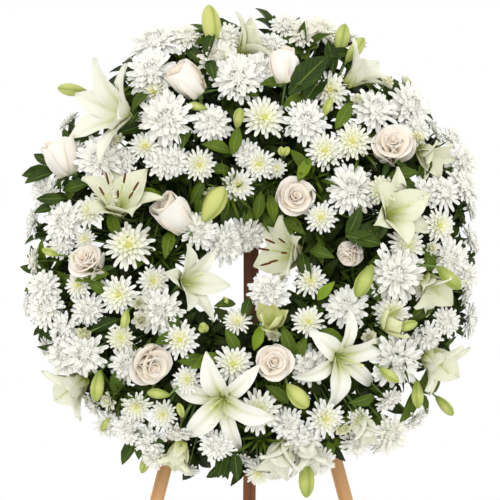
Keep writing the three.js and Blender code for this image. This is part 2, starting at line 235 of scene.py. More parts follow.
def button_finish():
    """The tight yellow-green heart of a daisy bloom."""
    m = Finish("button_yellow_green", Specular_IOR_Level=0.3)
    along, layer = m.attributes("along", "layer")
    body = m.mix(layer.clip(), "#dddb74", "#a0a838")
    colour = m.mix((along * 1.2 - 0.5).clip(), body, "#e5e28c")
    return m.dress(colour, 0.6 + m.noise(120.0) * 0.2, m.noise(900.0), 0.0003, 0.5)


def anther_finish():
    m = Finish("anther_brown", Specular_IOR_Level=0.2)
    grain = m.noise(1500.0)
    colour = m.mix(grain, "#4a2a18", "#84502c")
    return m.dress(colour, 0.8 + grain * 0.15, grain, 0.0004, 0.8)


def stem_finish():
    m = Finish("stem_green", Specular_IOR_Level=0.35)
    mottled = m.noise(50.0, 3.0)
    colour = m.mix(mottled * 0.6 + m.attribute("tint") * 0.4, "#35511f", "#87a552")
    return m.dress(colour, 0.45 + mottled * 0.2, m.noise(300.0), 0.0003, 0.4)


def foam_finish():
    """Wet green floral foam with its open pores."""
    m = Finish("floral_foam", Specular_IOR_Level=0.15)
    pores = m.noise(900.0)
    patches = m.noise(25.0, 3.0)
    colour = m.mix((pores * 0.6 + patches * 0.6 - 0.2).clip(), "#12200e", "#33502a")
    return m.dress(colour, 0.85 + pores * 0.1, pores, 0.0008, 0.8)


def tray_finish():
    """Moulded green plastic with a fine grain and a few scuffs."""
    m = Finish("tray_plastic", Specular_IOR_Level=0.45)
    grain = m.noise(1200.0)
    scuffs = m.noise(30.0, 5.0)
    colour = m.mix((scuffs * 1.2 - 0.3).clip(), "#16281a", "#24402a")
    return m.dress(colour, 0.42 + scuffs * 0.25, grain, 0.0002, 0.5)


def steel_finish():
    m = Finish("zinc_steel", Metallic=1.0)
    bloom = m.noise(160.0, 4.0)
    brushed = m.noise(900.0)
    colour = m.mix(bloom, "#7f8285", "#b3b5b6")
    return m.dress(colour, 0.3 + bloom * 0.25, brushed, 0.0001, 0.3)


def wood_finish(name, middle, axis, half, pale, dark):
    """Planed wood with its grain along the part's own axis, darker along its long edges."""
    m = Finish(name, Specular_IOR_Level=0.3)
    turned = axis.normalized().to_track_quat("Z", "Y").to_euler()
    place_in = m.node("ShaderNodeTexCoord").out("Object")
    own = m.node("ShaderNodeMapping", place_in, Location=middle, Rotation=turned, vector_type="TEXTURE")
    parts = m.node("ShaderNodeSeparateXYZ", own)
    across, deep, lengthwise = parts.out("X"), parts.out("Y"), parts.out("Z")
    wander = m.noise(22.0, 3.0, m.vector(across, deep, lengthwise * 0.06))
    rings = ((across * 210.0 + deep * 90.0 + wander * 9.0) * 2.0).math("SINE") * 0.5 + 0.5
    fine = m.noise(700.0, 2.0, m.vector(across, deep, lengthwise * 0.02))
    pores = m.noise(1400.0, 1.0, m.vector(across, deep, lengthwise * 0.05))
    grain = (rings ** 2.0 * 0.45 + fine * 0.5 + wander * 0.3 - 0.2).clip()
    # The colour darkens towards the long edges, where a point nears two of the part's faces at once, and in
    # the open pores.
    near_edge_x, near_edge_y = (
        ((off.math("ABSOLUTE") / reach - 0.8) * 5.0).clip() for off, reach in zip((across, deep), half)
    )
    edge_and_pore_darkening = (near_edge_x * near_edge_y * 0.5 + (pores - 0.62).clip() * 2.0).clip() * 0.5
    colour = m.mix(edge_and_pore_darkening, m.mix(grain, pale, dark), "#5b3a22")
    return m.dress(colour, 0.5 + fine * 0.2, fine + pores, 0.0003, 0.5)


# ------ petal forms
def sheet(name, rows, thick):
    """A closed thin shell. Each row is points from the +Y edge to the -Y edge, and rows follow +X."""
    points, faces, along, side = [], [], [], []
    count, last = len(rows[0]), len(rows) - 1
    top, under = [], []
    for r, row in enumerate(rows):
        ahead, behind = rows[min(r + 1, last)], rows[max(r - 1, 0)]
        start = len(points)
        points += row
        top.append(list(range(start, start + count)))
        for c in range(1, count - 1):
            down = (ahead[c] - behind[c]).cross(row[c + 1] - row[c - 1]).normalized()
            points.append(row[c] + down * thick)
        under.append([start, *range(start + count, start + 2 * count - 2), start + count - 1])
        along += [r / last] * (2 * count - 2)
        spread = [1 - 2 * c / (count - 1) for c in range(count)]
        side += spread + spread[1:-1]
    for r in range(last):
        for c in range(count - 1):
            faces.append((top[r][c], top[r][c + 1], top[r + 1][c + 1], top[r + 1][c]))
            faces.append((under[r][c], under[r + 1][c], under[r + 1][c + 1], under[r][c + 1]))
    faces.append(tuple(reversed(top[0] + under[0][-2:0:-1])))
    faces.append(tuple(top[last] + under[last][-2:0:-1]))
    return form(name, points, faces, along, side)


def new_mesh(name, points, edges, faces, **numbers):
    """A mesh whose points carry the given numbers, one list for each name."""
    mesh = bpy.data.meshes.new(name)
    mesh.from_pydata([tuple(p) for p in points], edges, faces)
    for key, values in numbers.items():
        mesh.attributes.new(key, "FLOAT", "POINT").data.foreach_set("value", values)
    return mesh


def new_object(name, data):
    made = bpy.data.objects.new(name, data)
    bpy.context.scene.collection.objects.link(made)
    return made


def form(name, points, faces, along, side, sharp=70):
    """A source shape for the trees, with how far along and to which side each of its points lies."""
    mesh = new_mesh(name, points, [], faces, along=along, side=side)
    mesh.shade_smooth()
    mesh.set_sharp_from_angle(angle=radians(sharp))
    made = bpy.data.objects.new(name, mesh)
    SOURCES.append(made)
    return made


def turned_form(name, rings, sides, lobes=0.0):
    """A closed form round +X, one unit long. Rings are (place, radius); lobes raise three swellings."""
    points, faces, run, side = [], [], [], []
    for x, radius in rings:
        for k in range(sides):
            angle = 2 * pi * k / sides
            swell = abs(cos(1.5 * angle))
            wide = radius * (1 - lobes * (1 - swell))
            points.append((x, wide * cos(angle), wide * sin(angle)))
            run.append(x)
            side.append(swell)
    for r in range(len(rings) - 1):
        for k in range(sides):
            a, b = r * sides + k, r * sides + (k + 1) % sides
            faces.append((a, b, b + sides, a + sides))
    faces.append(tuple(range(sides - 1, -1, -1)))
    faces.append(tuple(range((len(rings) - 1) * sides, len(rings) * sides)))
    return form(name, points, faces, run, side, 60)


def mum_petal(name, bend, cup, widths):
    """A narrow chrysanthemum petal that bends evenly, in radians, with a shallow notch at its tip."""
    rows = []
    for t, wide in zip((0.0, 0.3, 0.62, 0.88, 1.0), widths):
        slope = bend * t
        middle = Vector((sin(slope) / bend, 0, (1 - cos(slope)) / bend))
        along = Vector((cos(slope), 0, sin(slope)))
        inward = Vector((-sin(slope), 0, cos(slope)))
        edge = middle + inward * cup * wide
        across = Vector((0, wide / 2, 0))
        rows.append([edge + across, middle - along * (0.05 if t == 1.0 else 0.0), edge - across])
    return sheet(name, rows, 0.03)


def rose_petal(name, wrap, roll, belly=-0.10):
    """A broad rose petal that wraps round the bloom, its rim rolled outwards. It hollows by its belly."""
    rows = []
    for r in range(7):
        t = r / 6
        wide = 0.34 + 0.66 * sin(pi * min(1.0, 0.12 + t * 0.66)) - 0.25 * max(0, t - 0.8)
        bend = -roll * max(0.0, t - 0.55) ** 2 * 4 - belly * sin(pi * t)
        row = []
        for c in range(7):
            s = 1 - c / 3
            angle = s * wrap
            y = 0.5 * wide * sin(angle) / sin(wrap)
            z = 0.5 * wide * (1 - cos(angle)) / sin(wrap) + bend * (1 - 0.25 * s * s)
            x = t * (1 - 0.16 * t * s * s) + (0.025 if r == 6 and c == 3 else 0.0)
            row.append(Vector((x, y, z)))
        rows.append(row)
    return sheet(name, rows, 0.022)


def lily_tepal(name, broad, rise, fall, ruffle):
    """A lily's tepal that climbs out of the throat and then bends outwards to its point."""
    steps, x, z = 12, 0.0, 0.0
    rows, before = [], 0.0
    for r in range(steps):
        t = r / (steps - 1)
        slope = radians(rise + (fall - rise) * (0.15 * t + 0.85 * t**1.4))
        x, z = x + (t - before) * cos(slope), z + (t - before) * sin(slope)
        before = t
        swell = sin(pi * min(1.0, t * 0.98 + 0.02)) ** 0.9
        wide = broad * (0.30 + 0.70 * swell) * (1 - t**7) + 0.015
        out = Vector((-sin(slope), 0, cos(slope)))
        row = []
        for c in range(7):
            s = 1 - c / 3
            wave = ruffle * sin(11 * t + 2.2 * (s > 0)) * s * s * sin(pi * t)
            groove = 0.05 * broad * (1 - abs(s) * 3) if abs(s) < 0.3 else 0.0
            lift = broad * 0.20 * s * s * (1 - 0.6 * t) + wave - groove
            row.append(Vector((x, s * wide / 2, z)) + out * lift)
        rows.append(row)
    return sheet(name, rows, 0.012)


def leaf_form(name, fold, bend):
    """A pointed leaf folded a little along its midrib."""
    rows = []
    for x, wide in ((0, 0.06), (0.16, 0.62), (0.4, 1.0), (0.66, 0.86), (0.87, 0.42), (1, 0.05)):
        lift = bend * sin(pi * x * 0.9) - 0.4 * bend * x * x
        edge = lift + fold * wide
        rows.append([Vector((x, wide / 2, edge)), Vector((x, 0, lift)), Vector((x, -wide / 2, edge))])
    return sheet(name, rows, 0.014)


SOURCES = []


# ------ the trees
def named(g, name, kind="FLOAT"):
    return g.node("GeometryNodeInputNamedAttribute", Name=name, data_type=kind)


def new_tree(name, output, inputs):
    """An empty tree with its named inputs, which are listed by their kinds, and its one output."""
    tree = bpy.data.node_groups.new(name, "GeometryNodeTree")
    for kind, names in inputs.items():
        for label in names:
            tree.interface.new_socket(name=label, in_out="INPUT", socket_type="NodeSocket" + kind)
    tree.interface.new_socket(name=output, in_out="OUTPUT", socket_type="NodeSocketGeometry")
    g = Maker(tree)
    return g, g.node("NodeGroupInput")


def end_tree(g, geometry, finish):
    real = g.node("GeometryNodeRealizeInstances", geometry)
    done = g.node("GeometryNodeSetMaterial", Geometry=real, Material=finish)
    g.feed(g.tree.nodes.new("NodeGroupOutput").inputs[0], done)
    return g.tree


PETAL_INPUTS = {
    "Geometry": ["Heads"],
    "Object": ["Petal"],
    "Material": ["Finish"],
    "Int": ["Count", "Seed"],
    "Float": ["Turn", "Start", "Closing", "Seat", "Rise", "Unevenness"]
    + [end + key for key in ("Tilt", "Length", "Width") for end in ("Outer ", "Inner ")],
}


def petals_tree():
    """Sets petals round every head in a spiral, from the outermost to the innermost."""
    g, given = new_tree("petals_round_heads", "Bloom", PETAL_INPUTS)
    count, uneven = given.out("Count"), given.out("Unevenness")

    def chance(step):
        return g.node("FunctionNodeRandomValue", Min=-1.0, Max=1.0, Seed=given.out("Seed") + step)

    def between(key):
        outer = given.out("Outer " + key)
        return outer + (given.out("Inner " + key) - outer) * inward

    heads = given.out("Heads")
    copies = g.node("GeometryNodeDuplicateElements", Geometry=heads, Amount=count, domain="POINT")
    step = copies.out("Duplicate Index")
    share = (step + 0.5) / count
    inward = share ** given.out("Closing")
    size, spin, opened = named(g, "size"), named(g, "spin"), named(g, "open")
    turn = step * given.out("Turn") + given.out("Start") + spin + chance(1) * uneven * 0.5
    tilt = between("Tilt") + (1.0 - opened) + chance(2) * uneven
    length = between("Length") * size * (1.0 + chance(3) * uneven * 0.6)
    width = between("Width") * size * (1.0 + chance(4) * uneven * 0.4)
    away = given.out("Seat") * (1.0 - inward) * size
    above = given.out("Rise") * inward * size
    foot = g.vector(turn.math("COSINE") * away, turn.math("SINE") * away, above)
    facing = named(g, "facing", "FLOAT_VECTOR")
    aimed = g.node("FunctionNodeAlignRotationToVector", Vector=facing, axis="Z")
    moved = g.node("FunctionNodeRotateVector", foot, aimed)
    layered = g.node("GeometryNodeStoreNamedAttribute", Geometry=copies, Name="layer", Value=inward)
    seated = g.node("GeometryNodeSetPosition", Geometry=layered, Offset=moved)
    own = g.node("FunctionNodeEulerToRotation", g.vector(chance(5) * uneven, tilt * -1.0, turn))
    rotation = g.node("FunctionNodeRotateRotation", aimed, own, rotation_space="LOCAL")
    petal = g.node("GeometryNodeObjectInfo", Object=given.out("Petal")).out("Geometry")
    scale = g.vector(length, width, length)
    placed = dict(Points=seated, Instance=petal, Rotation=rotation, Scale=scale)
    petals = g.node("GeometryNodeInstanceOnPoints", **placed)
    return end_tree(g, petals, given.out("Finish"))


def stems_tree():
    """Turns polylines into round stems of each one's own radius."""
    inputs = {"Geometry": ["Lines"], "Int": ["Sides"], "Material": ["Finish"]}
    g, given = new_tree("round_stems", "Stems", inputs)
    lines = g.node("GeometryNodeMeshToCurve", Mesh=given.out("Lines"))
    ring = g.node("GeometryNodeCurvePrimitiveCircle", Resolution=given.out("Sides"), Radius=1.0)
    swept = {"Curve": lines, "Profile Curve": ring, "Scale": named(g, "size"), "Fill Caps": True}
    stems = g.node("GeometryNodeCurveToMesh", **swept)
    return end_tree(g, stems, given.out("Finish"))


PETALS = petals_tree()
STEMS = stems_tree()

Head = namedtuple("Head", "foot facing size spin open tint")


def run_tree(name, mesh, tree, **given):
    """Runs a tree on a mesh and keeps the result as a plain mesh on an object at the origin."""
    holder = new_object(name, mesh)
    modifier = holder.modifiers.new(name, "NODES")
    modifier.node_group = tree
    sockets = {s.name: s.identifier for s in tree.interface.items_tree if s.in_out == "INPUT"}
    for key, value in given.items():
        modifier[sockets[key.replace("_", " ")]] = value
    ready = holder.evaluated_get(bpy.context.evaluated_depsgraph_get())
    baked = bpy.data.meshes.new_from_object(ready)
    holder.modifiers.clear()
    holder.data = baked
    baked.name = name
    bpy.data.meshes.remove(mesh)
    return holder


def settle(piece, replaces=()):
    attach(piece, WREATH)
    if replaces:
        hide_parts(*replaces)
    return piece


def loose_points(name, heads):
    numbers = {key: [getattr(h, key) for h in heads] for key in ("size", "spin", "open", "tint")}
    mesh = new_mesh(name, [h.foot for h in heads], [], [], **numbers)
    aims = mesh.attributes.new("facing", "FLOAT_VECTOR", "POINT")
    aims.data.foreach_set("vector", [c for h in heads for c in h.facing])
    return mesh


def habit(count, tilt, length, width, **more):
    """How a bloom's petals sit. Each pair is for the outermost and the innermost; angles are in degrees."""
    sizes = dict(Count=count, Turn=GOLDEN, Start=0.0, Closing=1.0, Seat=0.0, Rise=0.0, Unevenness=0.0)
    for key, pair in (("Tilt", tilt), ("Length", length), ("Width", width)):
        pair = pair if isinstance(pair, tuple) else (pair, pair)
        sizes["Outer_" + key], sizes["Inner_" + key] = pair
    return dict(sizes, **more)


def bloom(name, heads, petal, finish, slot=None, replaces=(), **sizes):
    """Petals of one form round every head, as one piece."""
    given = {key: (v if key in ("Count", "Seed") else float(v)) for key, v in sizes.items()}
    for key in ("Turn", "Start", "Outer_Tilt", "Inner_Tilt"):
        given[key] = radians(given[key])
    piece = run_tree(name, loose_points(name, heads), PETALS, Petal=petal, Finish=finish, **given)
    return settle(piece, replaces)


# ------ planting plan
# Chrysanthemums: right, up, bloom radius, lift off the dome and, where they aren't white, how creamy.
FULL_MUMS = [
    (-142, 286, 36, -8), (-145, 248, 33, 2), (-123, 178, 35, 10), (-217, 123, 31, 0),
    (-126, 119, 22, 0, 0.1), (-48, 266, 25, -6, 0.5), (-21, 238, 32, 6), (10, 250, 27, 0), (-57, 175, 25, 0),
    (76, 175, 28, 5), (74, 297, 21, -8, 0.5), (102, 301, 24, -10, 0.5), (-8, 129, 18, -6),
    (-109, 117, 20, 0), (176, 197, 31, 5), (231, 199, 31, 0), (302, 119, 23, -4), (140, 80, 32, 0),
    (-292, 78, 22, -8), (-267, 34, 28, 3), (-269, 3, 18, -6), (-294, -55, 22, -4), (-290, -85, 25, -4),
    (-231, -91, 21, -6), (-130, -95, 28, 0), (-266, -116, 22, -4), (-263, -150, 28, -4), (-235, -154, 28, 5),
    (-172, -252, 21, -4), (-146, -270, 21, -6), (-137, -288, 18, -10, 0.2), (76, -169, 24, 0),
    (71, -274, 25, -4), (-52, -279, 20, -6), (95, -298, 18, -8, 0.1), (-34, 5, 26, 14),
    (-6, 18, 24, 10, 0.05), (21, -62, 27, 3), (245, 76, 20, 0), (274, 77, 25, 0), (304, 88, 25, -2),
    (202, -45, 36, 5), (280, -18, 25, -2), (127, -88, 27, 3), (272, -106, 18, -4), (202, -165, 34, 0),
    (193, -259, 24, -10, 0.35), (143, -272, 20, -14, 0.1), (-92, 292, 22, -12, 0.3), (50, 308, 20, -14, 0.1),
    (-175, -169, 24, -2), (46, -251, 20, -4), (238, 165, 20, -4), (288, 150, 18, -14),
    (-36, 292, 20, -12, 0.1), (30, 283, 20, -10), (-255, 130, 18, -12), (-74, 18, 23, 10, 0.05),
    (302, -40, 18, -8), (246, -130, 20, -6), (-200, -245, 18, -14),
]
DAISY_MUMS = [
    (-141, 221, 21, -2), (-151, 141, 21, 0), (18, 182, 28, 5), (102, 133, 24, 2), (8, 113, 21, 0),
    (-74, 112, 21, 0), (112, 223, 25, 3, 0.1), (141, 147, 24, 4, 0.1), (-230, 48, 22, 4), (-174, -1, 31, 6),
    (-137, -52, 20, 0), (-188, -73, 25, 4), (-245, -57, 18, 0), (-183, -132, 17, 4, 0.3),
    (-162, -228, 19, 0), (-125, -237, 18, -2), (-102, -134, 24, 3), (-92, -189, 18, 0), (-27, -167, 25, 6),
    (6, -234, 27, 6, 0.1), (101, -244, 24, 2), (6, -314, 17, -8), (-22, -106, 18, 0), (-21, 83, 21, 2),
    (95, 39, 21, 3), (80, -49, 21, 0), (76, -108, 21, 4), (181, 78, 20, 4, 0.4), (266, 27, 22, 2),
    (217, -1, 24, 4), (192, -97, 24, 2), (-205, 66, 15, 0), (34, 108, 13, -4), (-236, 8, 14, -3),
    (238, -62, 15, -3), (146, -246, 16, -4),
]
# The same, seen from the side because they look outwards over the rim.
RIM_MUMS = [
    (-183, 119, 17, -8), (266, 160, 17, -14), (-312, 36, 19, -14), (-308, -17, 17, -14, 0.4),
    (-314, -76, 15, -18), (-106, -263, 17, -10), (-14, -297, 15, -18), (17, -298, 14, -18),
    (32, -312, 15, -30, 0.1), (230, -136, 17, -10), (190, -218, 18, -8), (227, -237, 18, -18),
    (176, -272, 14, -22, 0.1), (308, -100, 22, -12), (312, 15, 19, -14), (302, -62, 16, -22),
    (-286, -140, 17, -26), (312, 58, 18, -22), (-262, 172, 15, -30), (-90, -304, 15, -26),
    (268, -168, 17, -22), (-222, -218, 17, -24), (150, 285, 17, -26),
]
SMALL_MUMS = [
    (193, 231, 11, 2, 0.6), (234, 151, 11, 4, 0.6), (-155, -108, 13, 0, 0.2), (-158, -84, 11, 0, 0.2),
    (-234, -126, 11, 4, 0.6), (-200, -216, 13, 0, 0.2), (123, -256, 11, 0, 0.6), (-60, 74, 9, -6, 0.3),
    (60, 220, 10, -4, 0.3), (28, -128, 10, -4, 0.3), (160, -132, 11, 0, 0.3), (-116, -292, 11, -10, 0.3),
    (222, 226, 11, -10, 0.3), (-248, -20, 10, 0, 0.2), (250, -6, 10, 2, 0.2), (42, -288, 10, -6, 0.2),
    (150, 206, 10, 2, 0.3), (-80, 232, 10, 0, 0.3), (-190, 148, 10, 0, 0.3),
]

# Roses: node, right, up, lift, radius, facing (right, front, up), how open, spin.
ROSES = {
    "rose_left_outer": (-270, 128, -6, 32, (-4, 2, 9), 0.58, 0.3),
    "rose_top_left": (-97, 236, 5, 31, (-6, 4, 6), 0.68, 1.2),
    "rose_top": (45, 257, 12, 28, (-1, 2, 9), 0.5, 2.0),
    "rose_right_upper": (197, 142, 5, 33, (0, 8, 3), 1.0, 0.9),
    "rose_inner_left": (-113, 46, 6, 32, (-5, 5, 5), 0.66, 2.6),
    "rose_left": (-231, -24, 5, 30, (-3, 7, 3), 0.86, 3.9),
    "rose_inner_top": (60, 67, 2, 30, (1, 9, 0), 0.97, 1.9),
    "rose_inner_right": (133, -17, 0, 22, (-4, 5, -6), 0.72, 5.0),
    "rose_lower_left": (-140, -170, 8, 31, (4, 7, -4), 0.98, 4.4),
    "rose_bottom": (27, -167, 8, 28, (1, 9, 0), 0.97, 0.2),
}

STILL_CLOSED = 0.7  # a rose less open than this has its petals wrapped round it

# Lilies: node, right, up, lift, reach, facing, how open, spin, tint towards green.
LILIES = {
    "lily_upper_left": (-206, 192, 17, 76, (-8, 6, 1), 1.0, 0.85, 0.12),
    "lily_left": (-186, 64, 6, 60, (1, 6, 5), 0.95, 0.9, 0.3),
    "lily_hole_left": (-80, -53, 8, 54, (7, 7, 0), 1.05, 2.75, 0.15),
    "lily_hole_right": (42, -8, 4, 56, (-8, 5, 0), 0.95, 0.45, 0.3),
    "lily_right": (204, 46, 6, 56, (5, 8, 1), 1.0, 1.0, 0.3),
    "lily_lower_right": (130, -170, 15, 62, (4, 8, -4), 1.05, 0.87, 0.02),
    "lily_bottom": (-50, -230, 15, 66, (-2, 8, -4), 1.05, 1.6, 0.02),
    "lily_lower_left": (-252, -196, -6, 50, (-7, 2, -6), 0.9, 2.2, 0.2),
    "lily_top": (2, 284, -14, 46, (6, 3, 5), 0.85, 0.2, 0.3),
    "lily_top_right": (158, 246, 5, 52, (7, 3, 6), 0.85, 1.3, 0.2),
    "lily_right_outer": (252, -64, 6, 44, (4, 5, -7), 0.9, 0.1, 0.3),
    "lily_right_lower": (258, -166, -2, 50, (6, 3, -6), 0.9, 0.7, 0.25),
}
WIDE_OPEN = ("lily_lower_right", "lily_bottom")
SLENDER = ("lily_hole_left", "lily_upper_left", "lily_top_right")
WITH_ANTHERS = ("lily_left", "lily_hole_right")
SIDEWAYS = ("lily_upper_left", "lily_top_right", "lily_top")
MORE_LILIES = [
    (38, -288, -10, 48, (-3, 3, -8), 0.62, 0.3, 0.15),
    (74, -284, -12, 46, (2, 3, -8), 0.6, 1.4, 0.1),
    (-104, -288, -12, 36, (-3, 1, -9), 0.7, 0.9, 0.4),
    (252, 125, -2, 40, (5, 4, -4), 0.8, 2.0, 0.3),
    (152, -250, -6, 40, (3, 3, -8), 0.5, 0.6, 0.15),
]

# Young lilies that have only just opened, still green.
YOUNG_LILIES = [
    (194, -112, 4, 32, (7, 5, 3), 0.95, 0.4, 0.7),
    (24, -106, 8, 30, (-1, 8, 4), 0.92, 1.2, 0.8),
]

# Buds: right, up, lift, length, facing (right, front, up), stoutness, tint (0 green to 1 pale).
STOUT = 1.3
BUDS = [
    (-252, 206, -60, 44, (-9, 1, 1), 0.9, 0.5), (186, -184, 12, 34, (6, 3, -5), 1.0, 0.3),
    (-146, -290, -30, 32, (-3, 1, -9), 0.95, 0.2), (-214, -196, 0, 45, (-1, 2, -9), 1.0, 0.2),
    (-58, 302, -10, 66, (-1, 0, 9), 1.1, 0.6), (129, 284, -10, 50, (2, 0, 9), 1.1, 0.3),
    (269, -52, 35, 46, (6, 3, -7), 0.9, 0.0), (227, -207, 0, 40, (0, 2, -9), 1.0, 0.15),
    (-20, 176, 12, 36, (1, 7, 5), 1.2, 0.25), (72, -318, 0, 52, (0, 1, -9), 1.1, 0.15),
    (148, 272, 0, 44, (6, 1, 8), 0.9, 0.3), (40, 129, 12, 18, (-1, 8, 4), 1.9, 0.5),
    (47, 129, 12, 18, (2, 8, 4), 1.9, 0.5), (-78, 196, 0, 28, (-8, 3, 1), 1.1, 0.3),
    (-55, 56, 12, 56, (5, 2, 8), 1.5, 0.7), (-69, -120, 14, 26, (1, 9, -1), 2.1, 0.35),
    (-176, -108, 14, 30, (-1, 4, -8), 1.0, 0.3), (59, -214, 20, 44, (5, 3, -6), 1.7, 0.4),
    (-130, -210, 14, 32, (-9, 3, 1), 1.0, 0.2), (264, -214, -10, 36, (6, 1, -7), 0.9, 0.15),
    (152, -57, 26, 54, (-4, 3, -8), 0.9, 0.1), (-38, -78, 0, 16, (2, 6, -5), 1.1, 0.3),
    (-200, -240, -20, 28, (-5, 1, -8), 0.9, 0.2), (106, 194, 10, 30, (3, 5, 7), 1.0, 0.3),
    (210, -118, 14, 34, (7, 4, 2), 1.2, 0.3), (-282, -12, 12, 26, (-7, 4, 2), 1.0, 0.3),
    (-100, -232, 12, 24, (-2, 5, 6), 0.9, 0.3),
]

# Single leaves: right, up, lift, length, direction in degrees from the right, tint (1 the freshest).
LEAVES = [
    (-301, 104, 12, 48, 184, 0.05), (-292, 122, 8, 34, 138, 0.08), (-283, 66, 18, 40, 178, 0.02),
    (-288, 52, 14, 36, 190, 0.05), (-223, -49, 6, 48, 200, 0.6), (-7, 41, 6, 40, 268, 0.3),
    (10, 57, 8, 42, 262, 0.25), (20, 34, 4, 44, 275, 0.3), (28, 52, 8, 42, 280, 0.4),
    (36, 50, 4, 40, 270, 0.2), (46, 24, 8, 44, 288, 0.8), (58, 26, 6, 42, 295, 0.3),
    (-78, 74, 4, 40, 245, 0.2), (-70, 54, 6, 44, 275, 0.3), (74, 106, 10, 40, 60, 0.7),
    (66, 118, 4, 38, 130, 0.3), (-45, 108, 4, 40, 10, 0.2), (-116, -3, 4, 44, 265, 0.4),
    (90, -7, 4, 40, 250, 0.2), (96, -20, 6, 42, 320, 0.15), (-40, -88, 8, 34, 200, 0.1),
    (-10, -90, 8, 36, 250, 0.1), (6, -50, 4, 34, 100, 0.05), (105, -69, 8, 36, 30, 0.9),
    (160, 14, 14, 52, 20, 0.05), (156, 4, 16, 56, 345, 0.1), (143, 29, 12, 48, 60, 0.1),
    (172, 26, 10, 50, 80, 0.15), (52, -136, 10, 46, 100, 0.3), (4, -129, 10, 40, 80, 0.9),
    (-34, -139, 8, 42, 130, 0.3), (66, -147, 6, 40, 60, 0.3), (-66, -169, 12, 44, 220, 0.5),
    (-84, -161, 8, 42, 190, 0.3), (129, 183, 12, 46, 60, 0.4), (-52, 130, 10, 44, 178, 0.3),
    (-27, 147, 8, 42, 85, 0.4), (-190, 30, 10, 44, 100, 0.3), (-155, -20, 6, 40, 260, 0.2),
    (238, -92, -6, 50, 230, 0.2), (255, -20, 8, 46, 300, 0.3), (245, -127, -8, 48, 250, 0.2),
    (78, 244, 26, 84, 50, 0.0), (84, 228, 22, 66, 66, 0.0), (126, 268, 6, 40, 20, 0.05),
    (116, 262, -4, 50, 95, 0.0), (106, 252, -8, 46, 60, 0.0), (134, 252, -6, 44, 120, 0.05),
    (-12, 214, 8, 42, 170, 0.3), (62, 206, 8, 46, 35, 0.4), (84, 226, 8, 46, 50, 0.5),
    (30, 222, 8, 40, 200, 0.2), (-178, 104, -8, 42, 110, 0.2), (-200, 92, -10, 40, 200, 0.2),
    (180, -20, 10, 42, 200, 0.15), (-96, 148, 8, 42, 250, 0.2), (-160, 200, 8, 42, 230, 0.2),
    (-216, -60, 8, 38, 150, 0.3), (-120, -132, 8, 40, 200, 0.3), (110, -128, 8, 42, 340, 0.4),
    (170, -60, 8, 44, 110, 0.1), (30, -212, 8, 42, 150, 0.2), (-10, -200, 8, 40, 30, 0.3),
    (-190, -190, 8, 46, 250, 0.2), (150, -220, 8, 40, 210, 0.2), (-110, -110, 8, 40, 280, 0.2),
    (-34, -300, 10, 42, 262, 0.02), (-24, -304, 12, 42, 275, 0.02), (-52, 300, -8, 44, 200, 0.02),
    (-62, 274, 2, 46, 250, 0.0), (-80, 268, 0, 44, 120, 0.05), (-165, 176, -2, 44, 240, 0.05),
    (-150, 190, -4, 40, 300, 0.0), (-172, 160, -4, 44, 200, 0.05), (-14, 66, -4, 44, 265, 0.05),
    (-28, 58, -6, 42, 250, 0.0), (2, 72, -6, 44, 280, 0.05), (-4, 98, -8, 44, 275, 0.0),
    (14, 88, -8, 42, 260, 0.05), (40, 86, -8, 44, 290, 0.0), (28, 72, -6, 44, 270, 0.0),
    (-44, 66, -8, 42, 240, 0.0), (48, 52, -4, 42, 280, 0.1), (-20, 84, -10, 46, 268, 0.0),
    (-2, 56, -10, 46, 275, 0.0), (18, 60, -8, 46, 262, 0.05), (-58, 240, 2, 42, 280, 0.05),
    (-300, 96, 14, 44, 196, 0.0), (-34, 48, -6, 46, 262, 0.1), (68, -32, 8, 48, 266, 0.05),
    (-46, 50, -8, 46, 246, 0.0), (-20, 50, -8, 48, 282, 0.05), (-58, 46, -8, 44, 232, 0.0),
    (-36, 62, -12, 48, 272, 0.0), (10, 40, -8, 46, 264, 0.1), (-45, -298, 8, 46, 250, 0.05),
    (212, 100, 10, 44, 10, 0.2), (220, 84, 10, 44, 330, 0.1), (244, 108, 6, 40, 60, 0.2),
    (-250, 90, 8, 42, 170, 0.1), (-141, 75, 8, 36, 350, 0.6), (-204, -112, -6, 46, 20, 0.0),
    (-196, -126, -8, 44, 340, 0.05), (-150, -250, -8, 46, 300, 0.0),
]


# How deep a bloom's foot sits below its place, in metres for each millimetre of its own size, and how far a
# chrysanthemum's longest petals reach.
MUM_SINK, ROSE_SINK, LILY_SINK, BUD_SINK = 0.00045, 0.00105, 0.00062, 0.0005
MUM_REACH = 0.0011
FULL_TURN = 6.28


def seat(u, v, n):
    """A place on the dome. Those nearer the foam spread wider, and more so over the wreath's upper half."""
    spread = 1 + max(0.0, 100 - n) / 1900
    upper = min(1.0, max(0.0, v / 200))
    rise = upper * max(0.0, 115 - n) * 0.32 + max(0.0, v - 215) * 0.09
    return place(u * spread, v * spread + rise, n)


def seat_of(u, v, lift):
    return seat(u, v, dome(u, v) + lift)


def head_at(sink, u, v, lift, size, face, opened=1.0, spin=0.0, tint=0.0):
    facing = heading(*face)
    return Head(seat_of(u, v, lift) - facing * size * sink, facing, size * MM, spin, opened, tint)


def stray(face, chance, spread):
    """The given way, turned a little to the side and up or down by chance."""
    aside = RIGHT * chance.uniform(-spread, spread)
    return (face + aside + UP * chance.uniform(-spread, spread)).normalized()


def mum_heads(rows, share, seed):
    chance = random.Random(seed)
    heads = []
    for u, v, radius, lift, *cream in rows:
        face = stray(outlook(u, v, share), chance, 0.18)
        foot = seat_of(u, v, lift) - face * radius * MUM_SINK
        tint = sum(cream) * 0.8 + chance.uniform(0.0, 0.12)
        heads.append(Head(foot, face, radius * MUM_REACH, chance.uniform(0, FULL_TURN), 1.0, tint))
    return heads


# ------ the pieces
def cad_nodes(start):
    return sorted(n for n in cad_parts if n.startswith(start))


def middle_of(node):
    low, high = (Vector(corner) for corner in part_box(node))
    return (low + high) / 2


